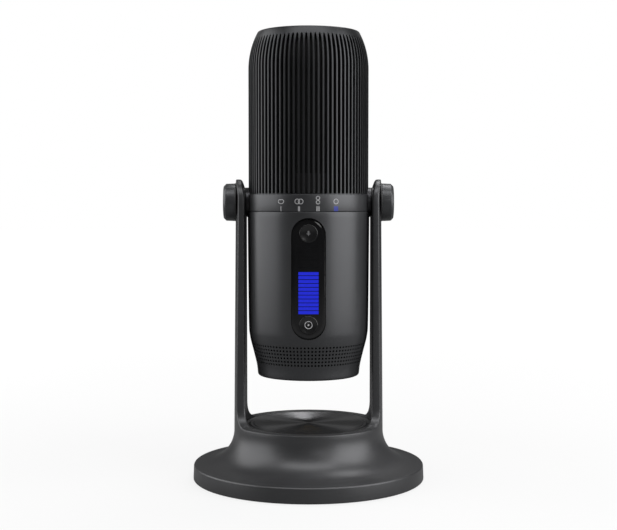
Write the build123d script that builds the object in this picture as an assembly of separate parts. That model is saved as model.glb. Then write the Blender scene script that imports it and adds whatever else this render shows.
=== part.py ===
from build123d import *
import os
from math import sqrt

# A desktop condenser microphone held between the two arms of a cast fork stand.
# Millimetres. The origin is the centre of the circle that the stand rests on, +Z is up,
# and the control panel faces -Y. Every function below makes one piece, or one group of like pieces.

# ---- stand ----
BASE_R = 60.0
BASE_LIFT = 0.4
EDGE_Z = 8.2
EDGE_BREAK = 0.4
RIM_Z = 28.9
NECK_R = 38.7
NECK_TOP_R = 37.6
NECK_BORE_R = 34.15
FLARE_R = 16.9
FLARE_Z = 26.0
FLARE_RUNOUT = 6.0
PLATTER_SEAT_Z = 26.3
RIDGES = 14
RIDGE_PITCH = 2.2
RIDGE_DEPTH = 0.4
HUB_DISC_R = 1.5
CAVITY = [(57.0, 0.0), (57.0, 4.4), (52.0, 5.6), (44.0, 10.0), (38.6, 16.0), (34.5, 23.5)]
PLATE_THICKNESS = 2.0
FOOT_RING_R = (46.0, 55.0)
FOOT_GROOVE = 0.8
SCREW_HEAD_Z = (0.5, 1.7)
SCREW_RECESS_R = 1.5
SCREW_R = 1.9
SCREW_HEAD_R = 3.5
SCREW_RING_R = 38.0
POST_R = 3.6
POST_Z = (2.5, 14.5)
BALLAST_R = (2.3, 33.0)
BALLAST_Z = (4.6, 17.6)
BALLAST_BOSS_R = 5.0

# ---- arms and pivot ----
PIVOT_Z = 143.7
ARM_HALF_WIDTH = 11.8
ARM_ROOT_R = 9.0
ARM_PAD_IN = 33.2
ARM_PAD_OUT = 37.0
SPOT_FACE_R = 10.4
TOUCH_GAP = 0.05
KNOB_WASHER = 0.7
KNOB_END = 43.8
KNOB_R = 9.75
KNOB_CHAMFER = 1.3
BUSH_R = 5.0
STUD_R = 3.0
STUD_TIP = 24.5
STUD_END = 42.0
HUB_FACE = 32.4
RUNNING_GAP = 0.06

# ---- microphone body ----
BODY_BOTTOM_Z = 54.2
BODY_TOP_Z = 139.0
BODY_R = 31.5
WALL = 1.6
TAPER = [(31.0, 82.5), (30.4, 74.5), (28.45, 66.5), (26.9, 60.0), (26.45, 56.0)]
LIP_Z = 57.5
LIP_R = (23.4, 25.6)
OPENING_R = 24.8
VENT_LINER = [
    (23.9, 60.3), (24.9, 60.3), (26.3, 65.5), (27.7, 70.5), (28.0, 72.2), (27.0, 72.2), (26.7, 70.5), (25.7, 65.8),
]
RING_BOTTOM_Z = 139.15
RING_TOP_Z = 147.6
RING_BORE_R = 28.75
HUB_R = 7.6
HUB_CLEARANCE_R = 7.9

# ---- grille ----
GRILLE_R = 30.95
GRILLE_WALL = 2.2
SHOULDER_Z = 211.7
SHOULDER_R = 40.0
CROWN_EDGE_Z = 230.3
TOP_Z = 231.2
CROWN_THICKNESS = 2.4
SLOTS = 80
SLOT_WIDTH = 1.5
SLOT_Z = (148.2, 226.3)
LINER_R = 28.55
LINER_WALL = 0.7
LINER_TOP_Z = 224.3
COLLAR_Z = 136.5
COLLAR_TOP_Z = 157.9

# ---- control panels ----
PANEL_WIDTH = 17.2
PANEL_HEIGHT = 60.6
PANEL_MID_Z = 105.65
PANEL_FACE = 29.9
PANEL_THICKNESS = 2.0
FIT = 0.1
MUTE_Z = 128.25
MONITOR_Z = 82.85
BUTTON_R = 4.6
BUTTON_PROUD = 0.25
BUTTON_TRAVEL = 0.5
FLANGE_R = 5.4
DISH_R = 18.0
DISH_DEPTH = 0.45
PLUNGER_R = 1.7
PLUNGER = 2.1
BAR_PITCH = 1.93
BAR_HEIGHT = 1.5
BAR_WIDTH = 10.0
BARS_LIT = 11
BARS_UNLIT = 7
BARS_Z = 88.1
BOARD_FRONT = 24.1
BOARD_THICKNESS = 1.2
BOARD_PILL = (15.5, 58.0)
PATTERN_Z = 119.0
GAIN_Z = 91.0
REAR_HOLE_R = 3.7
REAR_SHAFT_R = 3.0
ROTARY_BODY = (11.0, 6.0)
REAR_KNOB_R = 6.8
REAR_KNOB_Y = (30.3, 36.8)
REAR_KNOB_CHAMFER = 0.6
REAR_KNOB_CAP = 1.3
POINTER_WIDTH = 0.9
PATTERN_TURN = -45

# ---- pattern lights on the ring ----
LIGHT_ANGLES = (-25.65, -8.55, 8.55, 25.65)
LIGHT_WIDTH = 0.35
LIGHT_PITCH = 0.6
LIGHT_Z = (139.3, 141.7)

# ---- inside ----
DECK_Z = (150.5, 153.0)
DECK_R = 26.8
CHEEK_X = (21.5, 24.0)
LOWER_DECK_Z = (69.0, 71.2)
LOWER_DECK_R = 25.0
BOARD_BACK = 3.6
REAR_BOARD_Y = 19.3
CAPSULE_Z = 196.0
CAPSULE_R = 8.2
CAPSULE_SEAT = 6.2
CAPSULE_DEPTH = 6.0
CAPSULE_LIP = 1.2
STALK_R = 5.0
STALK_BORE_R = 3.0
STALK_TOP_Z = 184.0
HEAD_R = 8.5
HEAD_Z = (186.0, 206.0)
CAPSULE_ANGLES = (-90, 30, 150)

# ---- sockets under the microphone ----
THREAD_R = 7.43
THREAD_DEPTH = 12.0
INSERT_R = 10.0
COVER_Z = (55.0, 57.4)
COVER_R = 24.6
SOCKET_X = 8.5
SOCKET_Y = 15.5
JACK_R = 1.8
JACK_DEPTH = 14.5
JACK_BARREL_R = 2.9
USB_HALF = (4.47, 1.63)
USB_DEPTH = 7.5
COVER_SCREW_RING_R = 19.5
COVER_SCREW_R = 1.2
COVER_SCREW_HEAD_R = 2.2
COVER_SCREW_TOP_Z = 63.0


def block(x, y, z):
    """A box from three (low, high) pairs."""
    middle = Pos((x[0] + x[1]) / 2, (y[0] + y[1]) / 2, (z[0] + z[1]) / 2)
    return middle * Box(x[1] - x[0], y[1] - y[0], z[1] - z[0])


def rod_x(radius, start, end, z=PIVOT_Z):
    low, high = sorted((start, end))
    return Pos((low + high) / 2, 0, z) * Rot(0, 90, 0) * Cylinder(radius, high - low)


def rod_y(radius, low, high, x, z):
    return Pos(x, (low + high) / 2, z) * Rot(90, 0, 0) * Cylinder(radius, high - low)


def rod_z(radius, low, high, x=0.0, y=0.0):
    return Pos(x, y, (low + high) / 2) * Cylinder(radius, high - low)


def turned(edges):
    """Turns a closed outline of (radius, height) edges about the Z axis."""
    return revolve(Plane.XZ * make_face(edges), Axis.Z)


def turned_points(*points):
    return turned(Polyline(*points, close=True))


def ring(inner, outer, low, high):
    return rod_z(outer, low, high) - rod_z(inner, low - 1, high + 1)


def pill(width, height, low, high, z=PANEL_MID_Z):
    """An upright slot shape standing on the XZ plane, from y = low to y = high."""
    outline = Plane.XZ.offset(-high) * (Pos(0, z) * SlotOverall(height, width, rotation=90))
    return extrude(outline, amount=high - low)


# ================= stand =================


def four_times(shape):
    """Four copies about the Z axis, at the diagonals."""
    return [Rot(0, 0, 45 + 90 * k) * shape for k in range(4)]


def stand_casting():
    """Flared hollow foot with a neck, and two arms cut from the same round wall as the neck."""
    run_out_z = FLARE_Z - sqrt(FLARE_R**2 - FLARE_RUNOUT**2)
    run_out = (NECK_R + FLARE_R - FLARE_RUNOUT, run_out_z)
    slope = (FLARE_Z - run_out_z, -FLARE_RUNOUT)
    middle = (NECK_R + FLARE_R * 0.2, FLARE_Z - FLARE_R * 0.6)
    edge_top = (BASE_R - 2 * EDGE_BREAK, EDGE_Z)
    foot = turned([
        Polyline((0, BASE_LIFT), (BASE_R, BASE_LIFT), (BASE_R - EDGE_BREAK, EDGE_Z - EDGE_BREAK), edge_top),
        TangentArc(run_out, edge_top, tangent=slope),
        ThreePointArc(run_out, middle, (NECK_R, FLARE_Z)),
        Polyline((NECK_R, FLARE_Z), (NECK_R, RIM_Z), (0, RIM_Z), (0, BASE_LIFT)),
    ])
    web_z = CAVITY[-1][1]
    cavity = turned_points((0, 0), *CAVITY, (0, web_z))
    foot = foot - cavity - rod_z(NECK_BORE_R, PLATTER_SEAT_Z, RIM_Z + 1)
    foot = foot + rod_z(BALLAST_BOSS_R, BALLAST_Z[1], web_z + 0.5)
    foot = foot + four_times(rod_z(POST_R, *POST_Z, SCREW_RING_R))
    foot = foot - rod_z(SCREW_R, BALLAST_Z[1] - 1, web_z - 1)
    foot = foot - four_times(rod_z(SCREW_R, POST_Z[0] - 1, POST_Z[1] - 3, SCREW_RING_R))
    for side in (-1, 1):
        arm = fork_arm(side) + rod_x(HUB_R, side * ARM_PAD_IN, side * (ARM_PAD_OUT - 1))
        arm = arm - rod_x(SPOT_FACE_R, side * ARM_PAD_OUT, side * BASE_R)
        foot = foot + (arm - rod_x(BUSH_R, side * 30, side * BASE_R))
    return foot


def fork_arm(side):
    """A strap of the neck's round wall, with a round head and a root that widens into the neck's rim."""
    wall = turned_points(
        (NECK_BORE_R, PLATTER_SEAT_Z), (NECK_R, PLATTER_SEAT_Z), (NECK_TOP_R, PIVOT_Z), (NECK_TOP_R, 160),
        (NECK_BORE_R, 160),
    )
    w = ARM_HALF_WIDTH
    root = w + ARM_ROOT_R
    root_z = RIM_Z + ARM_ROOT_R
    outline = [
        RadiusArc((-root, RIM_Z), (-w, root_z), -ARM_ROOT_R),
        Line((-w, root_z), (-w, PIVOT_Z)),
        ThreePointArc((-w, PIVOT_Z), (0, PIVOT_Z + w), (w, PIVOT_Z)),
        Line((w, PIVOT_Z), (w, root_z)),
        RadiusArc((w, root_z), (root, RIM_Z), -ARM_ROOT_R),
        Polyline((root, RIM_Z), (root, PLATTER_SEAT_Z), (-root, PLATTER_SEAT_Z), (-root, RIM_Z)),
    ]
    return wall & extrude(Plane.YZ * make_face(outline), amount=side * BASE_R)


def platter():
    """Turned disc in the neck, with round ridges about its centre."""
    top = RIM_Z - FIT
    points = [(0, PLATTER_SEAT_Z), (NECK_BORE_R - FIT, PLATTER_SEAT_Z), (NECK_BORE_R - FIT, top)]
    for k in range(RIDGES, 0, -1):
        crest = HUB_DISC_R + k * RIDGE_PITCH
        points += [(crest, top), (crest - RIDGE_PITCH / 2, top - RIDGE_DEPTH)]
    points += [(HUB_DISC_R, top), (0, top)]
    return turned_points(*points)


def ballast_weight():
    return ring(*BALLAST_R, *BALLAST_Z)


def ballast_screw():
    low = BALLAST_Z[0]
    screw = rod_z(SCREW_R, low, BALLAST_Z[1] + 4.5) + rod_z(SCREW_HEAD_R + 0.3, low - 1.4, low)
    return screw - rod_z(SCREW_RECESS_R, low - 2, low - 0.6)


def base_plate():
    plate = rod_z(CAVITY[0][0] - 0.3, BASE_LIFT, BASE_LIFT + PLATE_THICKNESS)
    groove = ring(FOOT_RING_R[0] - FIT, FOOT_RING_R[1] + FIT, 0, BASE_LIFT + FOOT_GROOVE)
    hole = rod_z(SCREW_R + 0.2, 0, POST_Z[0], SCREW_RING_R)
    countersink = rod_z(SCREW_HEAD_R + 0.2, 0, SCREW_HEAD_Z[1], SCREW_RING_R)
    return plate - groove - four_times(hole + countersink)


def foot_ring():
    return ring(*FOOT_RING_R, 0, BASE_LIFT + FOOT_GROOVE)


def base_screws():
    low, high = SCREW_HEAD_Z
    screw = rod_z(SCREW_HEAD_R, low, high, SCREW_RING_R)
    screw = screw + rod_z(SCREW_R, low, POST_Z[1] - 4, SCREW_RING_R)
    return Compound(four_times(screw - rod_z(SCREW_RECESS_R, low - 1, high - 0.5, SCREW_RING_R)))


def arm_bush(side):
    """Sleeve in the arm's head, in which the knob's stud turns."""
    bush = rod_x(BUSH_R - 0.02, side * ARM_PAD_IN, side * ARM_PAD_OUT)
    return bush - rod_x(STUD_R + RUNNING_GAP, side * 30, side * 40)


# ================= pivot hardware =================


def disc_x(radius, low, high, side):
    """Washer or hub on the pivot's axis, with a bore in which the stud turns."""
    return rod_x(radius, side * low, side * high) - rod_x(STUD_R + RUNNING_GAP, side * 20, side * 45)


def pivot_hub(side):
    """Threaded metal hub that the chassis holds; it stands out through the body's side."""
    return disc_x(HUB_R, CHEEK_X[1], HUB_FACE, side)


def friction_washer(side):
    return disc_x(HUB_R, HUB_FACE, ARM_PAD_IN - TOUCH_GAP, side)


def knob_washer(side):
    low = ARM_PAD_OUT + TOUCH_GAP
    return disc_x(KNOB_R + 0.35, low, low + KNOB_WASHER, side)


def knob_head(side):
    """Slightly tapered round knob with a chamfered outer edge, on the stud's end."""
    low = ARM_PAD_OUT + TOUCH_GAP + KNOB_WASHER
    outer = KNOB_R - 0.2
    face_edge = [(outer, KNOB_END - KNOB_CHAMFER), (outer - KNOB_CHAMFER, KNOB_END)]
    outline = Polyline((0, low), (KNOB_R, low), *face_edge, (0, KNOB_END), close=True)
    head = revolve(Plane.XZ * make_face(outline), Axis.Z) - rod_z(STUD_R, low - 1, STUD_END)
    return Pos(0, 0, PIVOT_Z) * Rot(0, side * 90, 0) * head


def knob_stud(side):
    return rod_x(STUD_R, side * STUD_TIP, side * STUD_END)


# ================= grille =================


def grille_outline(inset, bottom, top):
    """The grille's profile, moved inwards by inset, from its foot up over the shoulder to the axis."""
    radius = SHOULDER_R - inset
    centre_r = GRILLE_R - SHOULDER_R
    start = (GRILLE_R - inset, SHOULDER_Z)
    end_z = CROWN_EDGE_Z - inset * 0.9
    end = (centre_r + sqrt(radius**2 - (end_z - SHOULDER_Z) ** 2), end_z)
    middle_z = (SHOULDER_Z + end_z) / 2
    middle = (centre_r + sqrt(radius**2 - (middle_z - SHOULDER_Z) ** 2), middle_z)
    return [
        Polyline((0, bottom), (GRILLE_R - inset, bottom), start),
        ThreePointArc(start, middle, end),
        Polyline(end, (end[0] - 0.9, top), (0, top), (0, bottom)),
    ]


def grille_cage():
    """One-piece cage: a plain crown and a row of deep upright ribs."""
    cage = turned(grille_outline(0, RING_TOP_Z, TOP_Z))
    cage = cage - turned(grille_outline(GRILLE_WALL, RING_TOP_Z - 1, TOP_Z - CROWN_THICKNESS))
    slot = block((GRILLE_R - 8, GRILLE_R + 2), (-SLOT_WIDTH / 2, SLOT_WIDTH / 2), SLOT_Z)
    turn = 360 / SLOTS
    cage = cage - [Rot(0, 0, turn * (k + 0.5)) * slot for k in range(SLOTS)]
    return cage - rod_x(HUB_CLEARANCE_R, -40, 40)


def grille_liner():
    """Sleeve of fine gauze that follows the ribs inside, against wind and breath."""
    inset = GRILLE_R - LINER_R
    sleeve = turned(grille_outline(inset, COLLAR_TOP_Z + FIT, TOP_Z - 1))
    sleeve = sleeve - turned(grille_outline(inset + LINER_WALL, COLLAR_TOP_Z, TOP_Z))
    return sleeve - rod_z(GRILLE_R, LINER_TOP_Z, TOP_Z + 1)


def grille_collar():
    """Sleeve that joins the cage, the ring and the body from the inside."""
    return ring(DECK_R + FIT, LINER_R, COLLAR_Z, COLLAR_TOP_Z) - rod_x(HUB_CLEARANCE_R, -40, 40)


# ================= indicator ring =================


def light_slits(index, width, height):
    """The slits of one pattern light: one for the first pattern, four for the last."""
    count = index + 1
    slits = []
    for k in range(count):
        across = (k - (count - 1) / 2) * LIGHT_PITCH
        slit = block((across - width / 2, across + width / 2), (-BODY_R - 0.05, -RING_BORE_R), height)
        slits.append(Rot(0, 0, LIGHT_ANGLES[index]) * slit)
    return slits


def indicator_ring():
    band = turned_points(
        (RING_BORE_R, RING_BOTTOM_Z), (BODY_R - 0.25, RING_BOTTOM_Z), (BODY_R, RING_BOTTOM_Z + 0.25),
        (BODY_R, RING_TOP_Z - 0.2), (BODY_R - 0.2, RING_TOP_Z), (RING_BORE_R, RING_TOP_Z),
    )
    band = band - rod_x(HUB_CLEARANCE_R, -40, 40)
    for index in range(4):
        band = band - light_slits(index, LIGHT_WIDTH, LIGHT_Z)
    return band


def pattern_lights(indexes):
    slits = []
    for index in indexes:
        slits += light_slits(index, LIGHT_WIDTH - 0.02, (LIGHT_Z[0] + 0.01, LIGHT_Z[1] - 0.01))
    return Compound(slits)


# ================= body =================


def body_outline(inset, bottom):
    """The body's profile, moved inwards by inset: a drafted wall that tapers in an S curve to the bottom."""
    taper = [(r - inset, z) for r, z in TAPER]
    top = (BODY_R - inset, BODY_TOP_Z)
    foot_r = taper[-1][0]
    foot = [(foot_r - 0.3, BODY_BOTTOM_Z + 0.7), (foot_r - 1.0, bottom)]
    return [
        Polyline((0, BODY_TOP_Z), top, taper[0]),
        Spline(*taper, tangents=[(0, -1), (0, -1)]),
        Polyline(taper[-1], *foot, (0, bottom), (0, BODY_TOP_Z)),
    ]


def body_shell():
    shell = turned(body_outline(0, BODY_BOTTOM_Z))
    shell = shell - turned(body_outline(WALL, BODY_BOTTOM_Z))
    shell = shell - rod_z(OPENING_R, BODY_BOTTOM_Z - 1, LIP_Z)
    shell = shell + ring(*LIP_R, LIP_Z, LIP_Z + 1.4)
    shell = shell - rod_x(HUB_CLEARANCE_R, -40, 40)
    shell = shell - pill(PANEL_WIDTH, PANEL_HEIGHT, -40, -20)
    return shell - pill(PANEL_WIDTH, PANEL_HEIGHT, 20, 40)


def vent_liner():
    """Dark gauze behind the small sound holes near the bottom."""
    return turned_points(*VENT_LINER)


def cover_screw_places():
    """Three screws on a circle: right, left and front."""
    return [(COVER_SCREW_RING_R, 0), (-COVER_SCREW_RING_R, 0), (0, -COVER_SCREW_RING_R)]


def bottom_cover():
    below, above = COVER_Z[0] - 1, COVER_Z[1] + 1
    cover = rod_z(COVER_R, *COVER_Z) - rod_z(INSERT_R, below, above)
    usb_hole = block(
        (-SOCKET_X - USB_HALF[0] - FIT, -SOCKET_X + USB_HALF[0] + FIT),
        (SOCKET_Y - USB_HALF[1] - FIT, SOCKET_Y + USB_HALF[1] + FIT),
        (below, above),
    )
    cover = cover - usb_hole - rod_z(JACK_BARREL_R + FIT, below, above, SOCKET_X, SOCKET_Y)
    for x, y in cover_screw_places():
        cover = cover - rod_z(COVER_SCREW_HEAD_R + FIT, below, COVER_Z[0] + 1.2, x, y)
        cover = cover - rod_z(COVER_SCREW_R + FIT, below, above, x, y)
    return cover


def bottom_screws():
    head_z = (COVER_Z[0] + 0.1, COVER_Z[0] + 1.2)
    screws = []
    for x, y in cover_screw_places():
        screw = rod_z(COVER_SCREW_R, head_z[0], COVER_SCREW_TOP_Z, x, y)
        screw = screw + rod_z(COVER_SCREW_HEAD_R, *head_z, x, y)
        screws.append(screw - rod_z(0.9, head_z[0] - 1, head_z[0] + 0.7, x, y))
    return Compound(screws)


def thread_insert():
    """Bush with the standard stand thread, taken as a plain bore at the thread's crest."""
    insert = rod_z(INSERT_R, COVER_Z[0], LOWER_DECK_Z[0])
    return insert - rod_z(THREAD_R, COVER_Z[0] - 1, COVER_Z[0] + THREAD_DEPTH)


def usb_socket():
    """Reversible power and data socket: a steel shell with a tongue in it."""
    x, y = USB_HALF
    mouth = COVER_Z[0] + 0.2
    shell = block((-x, x), (-y, y), (mouth, LOWER_DECK_Z[1]))
    shell = fillet(shell.edges().filter_by(Axis.Z), y - 0.1)
    wall = 0.35
    hollow = block((wall - x, x - wall), (wall - y, y - wall), (mouth - 1, mouth + USB_DEPTH))
    hollow = fillet(hollow.edges().filter_by(Axis.Z), y - wall - 0.1)
    tongue = block((-3.3, 3.3), (-0.35, 0.35), (mouth + 0.8, mouth + USB_DEPTH))
    return Pos(-SOCKET_X, SOCKET_Y, 0) * Compound([shell - hollow, tongue])


def headphone_jack():
    """Moulded block with a round barrel that fills its hole in the bottom cover."""
    mouth = COVER_Z[0] + 0.1
    jack = rod_z(JACK_BARREL_R, mouth, COVER_Z[1] + 1, SOCKET_X, SOCKET_Y)
    half = JACK_BARREL_R + 0.3
    across = (SOCKET_X - half, SOCKET_X + half)
    jack = jack + block(across, (SOCKET_Y - half, SOCKET_Y + half), (COVER_Z[1] + 0.2, LOWER_DECK_Z[1]))
    return jack - rod_z(JACK_R, mouth - 1, mouth + JACK_DEPTH, SOCKET_X, SOCKET_Y)


# ================= front controls =================


def bar_slots(width, height, first, count):
    """Upright row of meter bars, from bar number first."""
    depth = (-PANEL_FACE, -PANEL_FACE + PANEL_THICKNESS)
    bars = []
    for k in range(first, first + count):
        low = BARS_Z + k * BAR_PITCH + (BAR_PITCH - height) / 2
        bars.append(block((-width / 2, width / 2), depth, (low, low + height)))
    return bars


def front_panel():
    """Flat glossy lens, set a little below the body's skin."""
    back = -PANEL_FACE + PANEL_THICKNESS
    panel = pill(PANEL_WIDTH - FIT, PANEL_HEIGHT - FIT, -PANEL_FACE, back)
    panel = panel - [rod_y(BUTTON_R + FIT, -35, -25, 0, z) for z in (MUTE_Z, MONITOR_Z)]
    return panel - bar_slots(BAR_WIDTH + FIT, BAR_HEIGHT + FIT, 0, BARS_LIT + BARS_UNLIT)


def meter_bars(first, count):
    return Compound(bar_slots(BAR_WIDTH, BAR_HEIGHT, first, count))


def panel_carrier():
    """Frame behind the lens that keeps each control in its own well."""
    carrier = pill(16.8, 60.6, -PANEL_FACE + PANEL_THICKNESS, -BOARD_FRONT - 0.1)
    carrier = carrier - [rod_y(5.9, -35, -20, 0, z) for z in (MUTE_Z, MONITOR_Z)]
    top = BARS_Z + (BARS_LIT + BARS_UNLIT) * BAR_PITCH
    return carrier - block((-5.8, 5.8), (-35, -20), (BARS_Z - 0.2, top + 0.2))


def push_button(z):
    """Dished round key with a flange that the panel holds in, and a stub for its switch."""
    face = -PANEL_FACE - BUTTON_PROUD
    back = -PANEL_FACE + PANEL_THICKNESS + TOUCH_GAP
    tip = -BOARD_FRONT - PLUNGER - BUTTON_TRAVEL - TOUCH_GAP
    key = rod_y(BUTTON_R, face, back + 0.4, 0, z) + rod_y(FLANGE_R, back, back + 0.8, 0, z)
    key = key + rod_y(PLUNGER_R, back + 0.7, tip, 0, z)
    return key - Pos(0, face - DISH_R + DISH_DEPTH, z) * Sphere(DISH_R)


def button_switches():
    switches = []
    for z in (MUTE_Z, MONITOR_Z):
        body = block((-3, 3), (-BOARD_FRONT - 1.8, -BOARD_FRONT), (z - 3, z + 3))
        switches.append(body + rod_y(PLUNGER_R, -BOARD_FRONT - PLUNGER, -BOARD_FRONT - 1.7, 0, z))
    return Compound(switches)


def control_board():
    return pill(*BOARD_PILL, -BOARD_FRONT, -BOARD_FRONT + BOARD_THICKNESS)


def meter_leds():
    leds = []
    for k in range(BARS_LIT + BARS_UNLIT):
        z = BARS_Z + (k + 0.5) * BAR_PITCH
        leds.append(block((-1.2, 1.2), (-BOARD_FRONT - 0.7, -BOARD_FRONT), (z - 0.4, z + 0.4)))
    return Compound(leds)


# ================= rear controls =================


def rear_panel():
    panel = pill(PANEL_WIDTH - FIT, PANEL_HEIGHT - FIT, PANEL_FACE - PANEL_THICKNESS, PANEL_FACE)
    return panel - [rod_y(REAR_HOLE_R, 20, 40, 0, z) for z in (PATTERN_Z, GAIN_Z)]


def rotary_controls():
    """The two rotary parts behind the rear knobs: a four-way switch and a potentiometer."""
    half, depth = ROTARY_BODY[0] / 2, ROTARY_BODY[1]
    back = REAR_BOARD_Y + BOARD_THICKNESS
    parts = []
    for z in (PATTERN_Z, GAIN_Z):
        body = block((-half, half), (back, back + depth), (z - half, z + half))
        body = body + rod_y(REAR_HOLE_R - 0.2, back + depth - 0.1, PANEL_FACE - 0.3, 0, z)
        parts.append(body - rod_y(REAR_SHAFT_R + RUNNING_GAP, back + 1.4, 40, 0, z))
    return Compound(parts)


def rear_board():
    return pill(*BOARD_PILL, REAR_BOARD_Y, REAR_BOARD_Y + BOARD_THICKNESS)


def rear_shaft(z):
    return rod_y(REAR_SHAFT_R, REAR_BOARD_Y + 2.7, REAR_KNOB_Y[1] - REAR_KNOB_CAP, 0, z)


def rear_knob(z, pointer_turn):
    """Small round knob with a chamfered face and a pointer groove, pointer_turn degrees from upright."""
    outer_edge = rod_y(REAR_KNOB_R, *REAR_KNOB_Y, 0, z).edges().group_by(Axis.Y)[-1]
    knob = chamfer(outer_edge, REAR_KNOB_CHAMFER)
    knob = knob - rod_y(REAR_SHAFT_R, 25, REAR_KNOB_Y[1] - REAR_KNOB_CAP, 0, z)
    groove = block((-POINTER_WIDTH / 2, POINTER_WIDTH / 2), (REAR_KNOB_Y[1] - 0.4, 40), (1.5, 8))
    return knob - Pos(0, 0, z) * Rot(0, pointer_turn, 0) * groove


# ================= inside the body =================


def inner_chassis():
    """Frame of two decks and two cheeks: it holds the hubs, the boards and the capsule stalk."""
    low, high = LOWER_DECK_Z[0], DECK_Z[0] + 0.5
    frame = rod_z(DECK_R, *DECK_Z) + rod_z(LOWER_DECK_R, *LOWER_DECK_Z)
    for side in (-1, 1):
        cheek_x = sorted((side * CHEEK_X[0], side * CHEEK_X[1]))
        rail_x = sorted((side * (CHEEK_X[0] - 2.0), side * (CHEEK_X[0] + 0.5)))
        frame = frame + block(cheek_x, (-6.5, 6.5), (low, high))
        frame = frame + block(rail_x, (BOARD_BACK, BOARD_BACK + 2.4), (low + 4, high - 8))
        frame = frame - rod_x(STUD_R + 0.3, side * 18, side * 30)
        frame = frame - rod_x(HUB_CLEARANCE_R, side * CHEEK_X[1], side * 40)
    for x, y in cover_screw_places():
        frame = frame + rod_z(2.6, COVER_Z[1], low + 0.5, x, y)
        frame = frame - rod_z(1.25, COVER_Z[1] - 1, low - 5.5, x, y)
    room_x = SOCKET_X + USB_HALF[0] + 0.5
    frame = frame - block((-room_x, room_x), (SOCKET_Y - 3.6, SOCKET_Y + 3.6), (low - 1, LOWER_DECK_Z[1] + 1))
    return frame - rod_z(2.0, DECK_Z[0] - 1, DECK_Z[1] + 1)


def main_board():
    return block((-20.5, 20.5), (BOARD_BACK - 1.6, BOARD_BACK), (LOWER_DECK_Z[1] + 2.0, 147.0))


def board_parts():
    """Chips, capacitors and plugs soldered to the front of the main board."""
    sizes = [
        (-9, 96, 7, 7, 1.0), (6, 104, 9, 9, 1.2), (-12, 118, 5, 4, 0.9), (11, 86, 4, 6, 1.6),
        (-13, 82, 6.3, 6.3, 5.5), (14, 120, 6.3, 6.3, 5.5), (0, 139, 10, 4, 4.5), (-4, 76, 12, 3.5, 4.0),
        (15, 136, 3, 5, 1.0), (-16, 106, 3, 6, 1.0),
    ]
    front = BOARD_BACK - 1.6
    chips = []
    for x, z, width, height, depth in sizes:
        across, up = (x - width / 2, x + width / 2), (z - height / 2, z + height / 2)
        chips.append(block(across, (front - depth, front), up))
    return Compound(chips)


def board_standoffs():
    front = [rod_y(2.0, -BOARD_FRONT + BOARD_THICKNESS, BOARD_BACK - 1.6, 0, z) for z in (88.0, 112.0)]
    rear = [rod_y(2.0, BOARD_BACK, REAR_BOARD_Y, 0, z) for z in (80.0, 105.0)]
    return Compound(front + rear)


def io_board():
    """Round board on the lower deck, with the two sockets hanging from it."""
    return rod_z(CHEEK_X[0] - 1.0, LOWER_DECK_Z[1], LOWER_DECK_Z[1] + 1.4)


# ================= capsules =================


def stalk_isolator():
    return ring(3.2, 9.5, DECK_Z[1], DECK_Z[1] + 2.5)


def capsule_stalk():
    foot_z = DECK_Z[1] + 2.5
    stalk = rod_z(9.0, foot_z, foot_z + 2) + rod_z(STALK_R, foot_z, STALK_TOP_Z)
    return stalk - rod_z(STALK_BORE_R, foot_z - 1, STALK_TOP_Z + 1)


def capsule_holder():
    """Three-sided head on the stalk, with a seat for each capsule."""
    head = rod_z(HEAD_R, *HEAD_Z) + rod_z(CAPSULE_SEAT - FIT, STALK_TOP_Z, HEAD_Z[0] + 0.5)
    for angle in CAPSULE_ANGLES:
        flat = block((CAPSULE_SEAT, 2 * HEAD_R), (-HEAD_R, HEAD_R), (STALK_TOP_Z, HEAD_Z[1] + 1))
        head = head - Rot(0, 0, angle) * flat
    return head - rod_z(1.6, STALK_TOP_Z - 1, STALK_TOP_Z + 6)


def capsules():
    """Metal cups with a recessed diaphragm behind a lip."""
    face = CAPSULE_SEAT + CAPSULE_DEPTH
    cup = rod_x(CAPSULE_R, CAPSULE_SEAT, face, CAPSULE_Z)
    cup = cup - rod_x(CAPSULE_R - CAPSULE_LIP, face - 0.8, face + 1, CAPSULE_Z)
    return Compound([Rot(0, 0, angle) * cup for angle in CAPSULE_ANGLES])


def capsule_cable():
    return rod_z(1.2, 147.2, STALK_TOP_Z + 6)


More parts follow.
